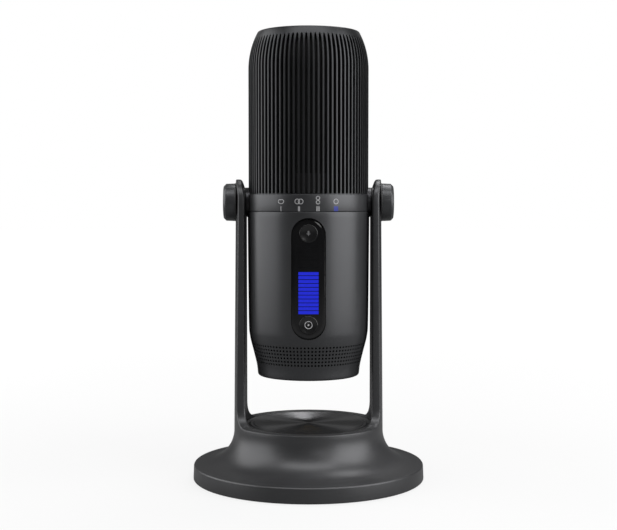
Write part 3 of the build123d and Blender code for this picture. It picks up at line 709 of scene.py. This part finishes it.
light_turns = (-25.65, -8.55, 8.55, 25.65)
slit_width, slit_pitch, slit_z = 0.35, 0.6, (139.3, 141.7)
ring_r, ring_bore, ring_low, ring_high = 31.5, 28.75, 139.15, 147.6
band = [(ring_bore, 143.0, 0), (ring_bore, ring_low, 0), (ring_r, ring_low, 0.25), (ring_r, ring_high, 0.2)]
band = rounded(band + [(ring_bore, ring_high, 0)], 3)
ring = new_object("indicator_ring_cut", Skin().turned(band, 256).mesh("ring"))
slits = Skin()
for index, turn in enumerate(light_turns):
    spin = Matrix.Rotation(radians(turn), 3, "Z")
    for k in range(index + 1):
        across = (k - index / 2) * slit_pitch
        slit = box_outline(across - slit_width / 2, across + slit_width / 2, -35, -28)
        slits.join(prism(slit, *slit_z).moved(lambda x, y, z: spin @ Vector((x, y, z))))
carved(ring, slits.mesh("slits"))
carved(ring, both_sides(*hub_hole))
fitted(ring, anodised, "mic", "body_anodised", "indicator_ring")


def lamp(name, colour, strength, dark):
    """Light pipe: moulded clear plastic, lit from behind when it has a strength. A pipe that is off but
    given a strength glows as painted light.
    """
    finish = Finish(name, {"Roughness": 0.35, "Specular IOR Level": 0.25, "Emission Strength": strength})
    haze = finish.noise(900.0)
    finish.tint(dark, haze * 0.6)
    share = finish.node("ShaderNodeClamp", None, {0: haze * 1.2 + 0.5})
    finish.feed("Emission Color", finish.blend(share, [c * 0.8 for c in colour], colour))
    return finish.material


finished(lamp("light_pipe_lit", (0.012, 0.035, 0.42), 0.9, (0.004, 0.004, 0.02)), "pattern_light_on")
# The pipes that are off still emit a faint grey: a painted glow, not a lit lamp.
finished(lamp("light_pipe_off_painted_glow", (0.3, 0.3, 0.3), 0.25, (0.32, 0.32, 0.33)), "pattern_lights_off")


def ribbon(skin, path, width, height, place, closed=True):
    """A raised line of that width along a flat path; place puts (across, up, height) on the piece."""
    count = len(path)
    rows = []
    for k in range(count):
        before = Vector(path[(k - 1) % count] if closed else path[max(k - 1, 0)])
        after = Vector(path[(k + 1) % count] if closed else path[min(k + 1, count - 1)])
        ahead = (after - before).normalized() * width / 2
        here = Vector(path[k])
        side = Vector((-ahead.y, ahead.x))
        section = ((1, 0), (1, height), (-1, height), (-1, 0))
        rows.append(skin.row(place(*(here + side * s), h) for s, h in section))
    for one, other in zip(rows, rows[1:] + (rows[:1] if closed else [])):
        skin.bridge(one, other, closed=True)
    if not closed:
        skin.faces += [tuple(rows[0]), tuple(reversed(rows[-1]))]


def patch(skin, outline, height, place):
    """A raised filled shape."""
    low = skin.row(place(x, y, 0.0) for x, y in outline)
    high = skin.row(place(x, y, height) for x, y in outline)
    skin.bridge(low, high, closed=True)
    skin.faces += [tuple(low), tuple(high)]


def cardioid(width, height, steps=40):
    """A heart-shaped pickup curve with its dent at the top, about the origin."""
    path = []
    for k in range(steps):
        turn = tau * k / steps
        reach = 1 - 0.85 * sin(turn)
        path.append((reach * cos(turn) * width / 2.55, (reach * sin(turn) + 0.8) * height / 2.3))
    return path


def pattern_icons(skin, places):
    """Heart, double circle, eight and circle, each at its place(across, up, height)."""
    line, proud = 0.28, 0.03
    ribbon(skin, cardioid(3.2, 2.2), line, proud, places[0])
    for x in (-0.85, 0.85):
        ribbon(skin, circle(1.2, 32, x), line, proud, places[1])
    for y in (-1.02, 1.02):
        ribbon(skin, circle(0.9, 28, 0.0, y), line, proud, places[2])
    ribbon(skin, circle(1.2, 32), line, proud, places[3])


def on_ring(turn_degrees, height):
    """Puts a flat icon on the ring's front, centred at that turn and height."""
    def place(across, up, proud):
        turn = radians(turn_degrees - 90) + across / ring_r
        radius = ring_r - 0.02 + proud
        return radius * cos(turn), radius * sin(turn), height + up
    return place


def printed(name, colour):
    """Pad-printed ink: matt and slightly uneven in cover."""
    return coated(name, colour, 0.55, 0.0, grain_mm=0.15, depth_mm=0.003)


icons = Skin()
pattern_icons(icons, [on_ring(turn, z) for turn, z in zip(light_turns, (144.0, 144.1, 144.75, 144.1))])
icon_print = printed("icon_print", (0.42, 0.42, 0.43))
fitted(new_object("pattern_icons", icons.mesh("icons")), icon_print, "mic", "light_unlit")


# ---------- the grille ----------
# One moulding of eighty deep ribs under a plain crown, painted satin black. Each slot runs
# through the wall, from just above the ring up over the shoulder, where it closes to a point.
grille_r, grille_wall, ribs, slot_half = 30.95, 2.2, 80, 0.75
shoulder_z, shoulder_r = 211.7, 40.0
slot_low, slot_taper, slot_top = 148.2, 222.4, 227.3
crown_top, crown_thickness = 231.2, 2.4
rib_round = 0.12


def grille_radius(height, inset):
    """The cage's radius at a height, on its outside or that far inside."""
    if height <= shoulder_z:
        return grille_r - inset
    return grille_r - shoulder_r + sqrt((shoulder_r - inset) ** 2 - (height - shoulder_z) ** 2)


def rib_sector():
    """One rib from slot middle to slot middle, with its share of the foot and the crown."""
    skin = Skin()
    reach = pi / ribs
    levels = [(147.6, 0.0), (slot_low - 0.25, 0.0), (slot_low - 0.1, 0.6), (slot_low + 0.25, slot_half)]
    levels += [(z, slot_half) for z in (180.0, shoulder_z)]
    levels += [(shoulder_z + (slot_taper - shoulder_z) * k / 6, slot_half) for k in range(1, 7)]
    for k in range(1, 9):
        share = k / 8
        levels.append((slot_taper + (slot_top - slot_taper) * share, slot_half * sqrt(1 - share**1.6)))

    def across(outer, half, height):
        """Points from the rib's middle to its edge, outside or inside, on both hands of the rib."""
        radius = grille_radius(height, 0.0 if outer else grille_wall)
        limit = radius * reach - half
        drop = rib_round if outer and half else 0.0
        path = [(0.0, 0.0), ((limit - rib_round) * 0.6, 0.0), (limit - rib_round, 0.0)]
        path += [(limit - rib_round * 0.3, drop * 0.3), (limit, drop)]
        return [(way / radius, radius - drop, height) for way, drop in path]

    for hand in (1, -1):
        rows = []
        for height, half in levels:
            pair = []
            for outer in (True, False):
                spots = [(hand * t, r, z) for t, r, z in across(outer, half, height)]
                pair.append(skin.row((r * cos(t), r * sin(t), z) for t, r, z in spots))
            rows.append((*pair, half))
        for (out_a, in_a, half_a), (out_b, in_b, half_b) in zip(rows, rows[1:]):
            skin.bridge(out_a, out_b)
            skin.bridge(in_a, in_b)
            if half_a or half_b:
                skin.bridge([out_a[-1], in_a[-1]], [out_b[-1], in_b[-1]])
        skin.bridge(rows[0][0], rows[0][1])
        # over the crown, outside and inside, to the axis
        last = rows[-1]
        outside = [(grille_radius(z, 0.0), z) for z in (227.6, 228.8, 230.1)]
        outside += rounded([(grille_radius(230.1, 0.0), 230.1, 0), (26.0, 230.85, 0.9),
                            (21.0, crown_top - 0.08, 0)], 5)[1:]
        outside += [(12.0, crown_top), (4.0, crown_top), (0.0, crown_top)]
        ceiling = crown_top - crown_thickness
        inside = [(grille_radius(227.8, grille_wall), 227.8)]
        inside += [(grille_radius(ceiling, grille_wall) - 0.4, ceiling)]
        inside += [(12.0, ceiling), (4.0, ceiling), (0.0, ceiling)]
        turns = [atan2(skin.points[k][1], skin.points[k][0]) for k in last[0]]
        for start, path in ((last[0], outside), (last[1], inside)):
            line = start
            for radius, height in path:
                ahead = skin.row((radius * cos(t), radius * sin(t), height) for t in turns)
                skin.bridge(line, ahead)
                line = ahead
    return skin


grille_paint = coated("grille_satin_paint", (0.032, 0.033, 0.035), 0.36, 0.75, grain_mm=0.3, depth_mm=0.008)
grille = new_object("grille_cage_moulded", rib_sector().mesh("grille"))
around(grille, grille_paint, ribs, 360.0 / ribs, 0.0)
carved(grille, both_sides(*hub_hole))
fitted(grille, grille_paint, "mic", "grille_paint", "grille_cage")

liner_levels = (158.0, 190.0, 211.7, 215.0, 218.0, 221.0, 224.3, 226.9)
liner_inset, liner_thickness = 2.4, 0.7
gauze_section = [(grille_radius(z, liner_inset), z) for z in liner_levels]
gauze_section += [(grille_radius(z, liner_inset + liner_thickness), z) for z in reversed(liner_levels)]
# The grille's liner takes the same gauze, whose near black also paints the shade behind the slots.
liner = new_object("grille_liner_rolled", Skin().turned(gauze_section, 128).mesh("liner"))
fitted(liner, gauze, "mic", "gauze", "grille_liner")
moulding = coated("black_moulding", (0.016, 0.016, 0.017), 0.45, 0.0, grain_mm=0.4, depth_mm=0.01)
collar = [(26.9, 136.5), (28.55, 136.5), (28.55, 157.9), (26.9, 157.9)]
sleeve = new_object("grille_collar_turned", Skin().turned(collar, 128).mesh("collar"))
carved(sleeve, both_sides(*hub_hole))
fitted(sleeve, moulding, "mic", "black_moulding", "grille_collar")


# ---------- the front controls ----------
# A flat acrylic lens, printed black from behind and polished, with a soft edge. Two dished keys
# stand in it, the mute key above and the monitor key below, on either side of the level meter.
def lens(name, holes, hole_r):
    """A pill-shaped lens on the body's front, with an eased edge and round holes."""
    skin = Skin()
    rows = []
    for inset, depth in ((0.0, -2.0), (0.0, -0.55), (0.06, -0.42), (0.15, -0.36), (1.7, 0.0), (2.0, 0.0)):
        outline = pill(panel_width - 0.1 - 2 * inset, panel_height - 0.1 - 2 * inset, 24)
        rows.append(skin.row((x, z, panel_face + depth) for x, z in outline))
    for one, other in zip(rows, rows[1:]):
        skin.bridge(one, other, closed=True)
    skin.faces += [tuple(reversed(rows[0])), tuple(rows[-1])]
    piece = new_object(name, stood(skin, panel_mid).mesh(name))
    for z in holes:
        bore = prism(circle(hole_r, 64), 20.0, 40.0)
        carved(piece, stood(bore, z).mesh("bore"))
    return piece


def glossy(name, colour, roughness):
    """Polished plastic: even and dark, with the faintest haze from handling."""
    finish = Finish(name, {"IOR": 1.5})
    haze = finish.noise(120.0, 4.0)
    finish.tint(colour, haze)
    finish.feed("Roughness", haze * 0.06 + roughness)
    return finish.material


mute_z, monitor_z, key_hole_r = 128.25, 82.85, 4.7
bars, bars_z, bar_pitch, window_tall, window_half = 18, 88.1, 1.93, 1.6, 5.05
acrylic = glossy("black_acrylic", (0.006, 0.006, 0.0065), 0.09)
front = lens("front_lens", (mute_z, monitor_z), key_hole_r)
windows = Skin()
for k in range(bars):
    low = bars_z + k * bar_pitch + (bar_pitch - window_tall) / 2
    windows.join(prism(box_outline(-window_half, window_half, low, low + window_tall), 20.0, 40.0))
carved(front, stood(windows, 0.0).mesh("windows"))
fitted(front, acrylic, "mic", "panel_gloss", "front_panel")
finished(lamp("meter_bar_lit", (0.012, 0.022, 0.66), 1.0, (0.004, 0.004, 0.02)), "meter_bars_lit")
finished(glossy("meter_bar_dark", (0.005, 0.005, 0.0055), 0.12), "meter_bars_unlit")
finished(moulding, "panel_carrier")


key_face, key_r, dish_r, dish_rim, dish = 30.15, 4.6, 4.0, 0.03, 0.45


def dish_depth(radius):
    """How far a key's face lies behind its rim, at that distance from its middle."""
    return dish_rim + (dish - dish_rim) * (1 - (radius / dish_r) ** 2)


def key(name, z):
    """A round key with a dished face, a rounded rim and a flange behind the lens."""
    path = [(0.0, 26.75), (1.7, 26.75), (1.7, 27.05), (5.4, 27.05), (5.4, 27.85), (key_r, 27.85)]
    path += rounded([(key_r, 27.85, 0), (key_r, key_face, 0.35), (4.15, key_face, 0),
                     (dish_r, key_face - dish_rim, 0)], 5)[1:]
    for k in range(1, 7):
        radius = dish_r * (1 - k / 6)
        path.append((radius, key_face - dish_depth(radius)))
    return new_object(name, stood(Skin().turned(path, 80, closed=False), z).mesh(name))


def on_key(z):
    """Puts a flat mark on a key's dished face."""
    def place(across, up, proud):
        return across, -(key_face - dish_depth(hypot(across, up)) - 0.02 + proud), z + up
    return place


key_cap = glossy("key_cap_black", (0.007, 0.007, 0.0075), 0.22)
key_print = printed("key_print", (0.42, 0.42, 0.43))
mute_print = printed("mute_key_print", (0.11, 0.11, 0.115))
fitted(key("mute_key", mute_z), key_cap, "mute_button", "button_cap", "mute_button")
fitted(key("monitor_key", monitor_z), key_cap, "monitor_button", "button_cap", "monitor_button")
ring_and_dot = Skin()
ribbon(ring_and_dot, circle(1.8, 48), 0.32, 0.04, on_key(monitor_z))
patch(ring_and_dot, circle(0.45, 24), 0.04, on_key(monitor_z))
fitted(new_object("monitor_mark", ring_and_dot.mesh("mark")), key_print, "monitor_button", "light_unlit")
small_mic = Skin()
patch(small_mic, [(x, y + 0.45) for x, y in pill(0.95, 1.9, 8)], 0.04, on_key(mute_z))
cradle_turns = [radians(a) for a in range(180, 361, 18)]
cradle = [(0.85 * cos(t), 0.25 + 0.85 * sin(t)) for t in cradle_turns]
ribbon(small_mic, cradle, 0.22, 0.04, on_key(mute_z), closed=False)
ribbon(small_mic, [(0.0, -0.7), (0.0, -1.0), (0.0, -1.3)], 0.24, 0.04, on_key(mute_z), closed=False)
fitted(new_object("mute_mark", small_mic.mesh("mark")), mute_print, "mute_button", "light_unlit")


# ---------- the rear controls ----------
# The rear lens is moulded matt, and two small fluted knobs stand on it: the pickup pattern above,
# with four stops, and the gain below, with a scale of dots.
matt_lens = coated("matt_black_lens", (0.012, 0.012, 0.013), 0.32, 0.0, grain_mm=0.3, depth_mm=0.006)
pattern_z, gain_z = 119.0, 91.0
rear = lens("rear_lens", (), 0.0)
rear.data.transform(Matrix.Rotation(pi, 4, "Z"))
for z in (pattern_z, gain_z):
    bore = prism(circle(3.7, 48), -40.0, -20.0)
    carved(rear, stood(bore, z).mesh("bore"))
fitted(rear, matt_lens, "mic", "panel_gloss", "rear_panel")


def fluted_knob(name, z, pointer_turn):
    """A small knob with twenty-four flutes, a chamfered face and a pointer cut into it."""
    path = [(0.0, 35.5), (3.0, 35.5), (3.0, 30.3)]
    path += rounded([(3.0, 30.3, 0), (6.8, 30.3, 0.3), (6.8, 36.8, 0.6), (5.6, 36.8, 0),
                     (5.0, 36.7, 0)], 4)[1:]
    path += [(0.0, 36.7)]
    skin = Skin().turned(path, 192, closed=False)

    def flute(x, y, d):
        radius = hypot(x, y)
        if radius < 6.2 or not 31.2 < d < 36.2:
            return x, y, d
        dent = 1 - 0.22 * (0.5 - 0.5 * cos(24 * atan2(y, x))) ** 2 / radius
        return x * dent, y * dent, d
    skin.moved(flute)
    piece = new_object(name, skin.moved(lambda x, y, d: (-x, d, y + z)).mesh(name))
    turn = Matrix.Rotation(radians(pointer_turn), 3, "Y")
    groove = prism([(-0.45, 1.5), (0.45, 1.5), (0.45, 8.0), (-0.45, 8.0)], 36.4, 40.0)
    groove.moved(lambda x, y, d: turn @ Vector((x, d, y)) + Vector((0, 0, z)))
    return carved(piece, groove.mesh("groove"))


for knob_name, z, pointer_turn in (("pattern_knob", pattern_z, -45.0), ("gain_knob", gain_z, 0.0)):
    moulded = fluted_knob(knob_name + "_moulded", z, pointer_turn)
    fitted(moulded, knob_coat, knob_name, "knob_metal", knob_name)


def on_rear(x0, z0):
    """Puts a flat mark on the rear lens; across runs to the right as one looks at the back."""
    def place(across, up, proud):
        return -(x0 + across), panel_face - 0.02 + proud, z0 + up
    return place


scale = Skin()
scale_r, scale_dots, scale_end = 7.55, 11, 140
for k in range(scale_dots):
    turn = radians(-scale_end + 2 * scale_end * k / (scale_dots - 1))
    middle = on_rear(scale_r * sin(turn), gain_z + scale_r * cos(turn))
    patch(scale, circle(0.22 + 0.02 * k, 16), 0.03, middle)
fitted(new_object("rear_scale", scale.mesh("scale")), icon_print, "mic", "light_unlit")


# ---------- the bottom and its sockets ----------
# A moulded cover with three screws closes the tube. The stand thread is a brass bush in its
# middle, and the power and headphone sockets look down beside it.
cover = [(10.0, 57.4), (24.4, 57.4), (24.6, 57.2), (24.6, 55.3), (24.3, 55.0), (10.2, 55.0), (10.0, 55.2)]
bottom = new_object("bottom_cover_moulded", Skin().turned(cover, 128).mesh("cover"))
screwed(bottom, moulding, "mic", "bottom_screws", count=3, start=180.0, ring_r=19.5,
        head_r=2.2, low=55.1, high=56.2, well_r=2.3, well_z=(50.0, 56.2))
socket_x, socket_y = 8.5, 15.5
carved(bottom, prism(circle(3.0, 48, socket_x, socket_y), 50.0, 60.0).mesh("jack_hole"))
usb_outline = rounded([(0, -1.73, 0), (4.57, -1.73, 1.6), (4.57, 1.73, 1.6), (0, 1.73, 0)], 6)
usb_outline += [(-x, -y) for x, y in usb_outline[1:-1]]
usb_outline = [(x - socket_x, y + socket_y) for x, y in usb_outline]
carved(bottom, prism(usb_outline, 50.0, 60.0).mesh("usb_hole"))
fitted(bottom, moulding, "mic", "black_moulding", "bottom_cover")

crest_r, root_r, thread_pitch = 7.43, 8.15, 1.588
thread = [(crest_r, 55.5)]
for k in range(7):
    start = 55.7 + thread_pitch * k
    thread += [(crest_r, start), (root_r, start + 0.7), (root_r, start + 0.85), (crest_r, start + 1.55)]
bush = [(9.8, 55.0), (10.0, 55.2), (10.0, 69.0), (0.0, 69.0), (0.0, 67.0), (crest_r, 67.0)]
bush += thread[::-1] + [(7.8, 55.0)]
insert = new_object("thread_insert_turned", Skin().turned(bush, 96).mesh("insert"))
fitted(insert, brass, "mic", "bush_brass", "thread_insert")
finished(zinc, "usb_socket")
finished(moulding, "headphone_jack")


# ---------- the inside ----------
# A moulded frame carries the boards, the rotary controls and the soft-mounted capsule stalk.
# They keep their plain shapes, since the shell and the gauze hide them.
def board(name, colour):
    """Solder mask over copper tracks that run up and across."""
    finish = Finish(name, {"Roughness": 0.35})
    tracks = finish.node("ShaderNodeTexBrick", None, {
        "Vector": finish.where, "Scale": 260.0, "Color1": (1, 1, 1, 1),
        "Color2": (0.8, 0.8, 0.8, 1), "Mortar": (0, 0, 0, 1)}, output=1)
    finish.tint(colour, tracks * 0.5 - 0.25)
    return finish.material


green_board = board("circuit_board", (0.01, 0.05, 0.03))
finished(green_board, "main_board", "io_board", "control_board", "rear_board")
finished(moulding, "inner_chassis", "rotary_controls", "capsule_holder", "capsule_stalk")
finished(gauze, "stalk_isolator")
finished(nylon, "board_parts", "button_switches", "capsule_cable")
finished(zinc, "board_standoffs", "pattern_shaft", "gain_shaft")
finished(lamp("meter_leds", (0.6, 0.7, 1.0), 0.2, (0.7, 0.7, 0.65)), "meter_leds")
finished(brass, "capsules")


# ---------- light, floor and background ----------
# Large soft boxes stand left and right of the microphone, two hang over it, a dim one stands
# behind it and a small one in front. The floor fades into a room of the same near white.
def soft_box(name, azimuth, distance, height, width, tall, radiance, tilt):
    """A soft box that faces the microphone: azimuth 0 is the camera's side, 90 is to the right."""
    data = bpy.data.lights.new(name, "AREA")
    data.shape, data.size, data.size_y = "RECTANGLE", width, tall
    data.energy = radiance * pi * width * tall
    box = new_object(name, data)
    turn = radians(azimuth)
    box.location = (distance * sin(turn), -distance * cos(turn), height)
    box.rotation_euler = (radians(90.0 - tilt), 0.0, turn)


soft_box("left_box", -90.0, 0.8, 0.46, 1.15, 0.90, 2.7, 10.0)
soft_box("right_box", 68.0, 0.8, 0.46, 0.90, 0.90, 3.9, 10.0)
soft_box("top_box", 0.0, 0.48, 1.1, 1.2, 0.42, 4.0, 70.0)
soft_box("high_right_box", 150.0, 0.42, 1.0, 0.6, 0.4, 6.0, 68.0)
soft_box("back_box", 180.0, 1.0, 0.65, 1.3, 0.35, 0.25, 28.0)
soft_box("front_strip", 19.0, 1.2, 0.52, 0.28, 0.28, 3.0, 18.0)

world = bpy.data.worlds.new("pale_room")
world.use_nodes = True
room = Nodes(world.node_tree)
world.node_tree.nodes.clear()
seen = room.node("ShaderNodeBackground", None, {"Color": (1.0, 1.0, 1.0, 1.0), "Strength": 1.0})
felt = room.node("ShaderNodeBackground", None, {"Color": (1.0, 1.0, 1.0, 1.0), "Strength": 0.06})
camera_ray = room.node("ShaderNodeLightPath")
room.node("ShaderNodeOutputWorld", None, {
    "Surface": room.node("ShaderNodeMixShader", None, {0: camera_ray, 1: felt, 2: seen})})
bpy.context.scene.world = world
bpy.context.scene.view_settings.view_transform = "Standard"

floor_r = 6.0
floor = new_object("floor", Skin().turned([(0, 0), (floor_r / MM, 0)], 96, closed=False).mesh("floor"))
pale = bpy.data.materials.new("pale_floor")
pale.use_nodes = True
pale.node_tree.nodes.clear()
paint = Nodes(pale.node_tree)
where = paint.node("ShaderNodeTexCoord", output=3)
away = paint.node("ShaderNodeVectorMath", {"operation": "LENGTH"}, {0: where}, output=1)
faded = paint.node("ShaderNodeMapRange", None, {"Value": away, "From Min": 0.15, "From Max": 1.2})
glow = paint.node("ShaderNodeEmission", None, {"Color": paint.blend(faded, (0.8, 0.8, 0.8), (1, 1, 1))})
shade = paint.node("ShaderNodeBsdfDiffuse", None, {"Color": (0.12, 0.12, 0.12, 1.0)})
lit = paint.node("ShaderNodeAddShader", None, {0: glow, 1: shade})
dark = paint.node("ShaderNodeBsdfDiffuse", None, {"Color": (0.24, 0.24, 0.24, 1.0)})
by_camera = paint.node("ShaderNodeLightPath")
paint.node("ShaderNodeOutputMaterial", None, {
    "Surface": paint.node("ShaderNodeMixShader", None, {0: by_camera, 1: dark, 2: lit})})
floor.data.materials.append(pale)

bpy.context.view_layer.update()
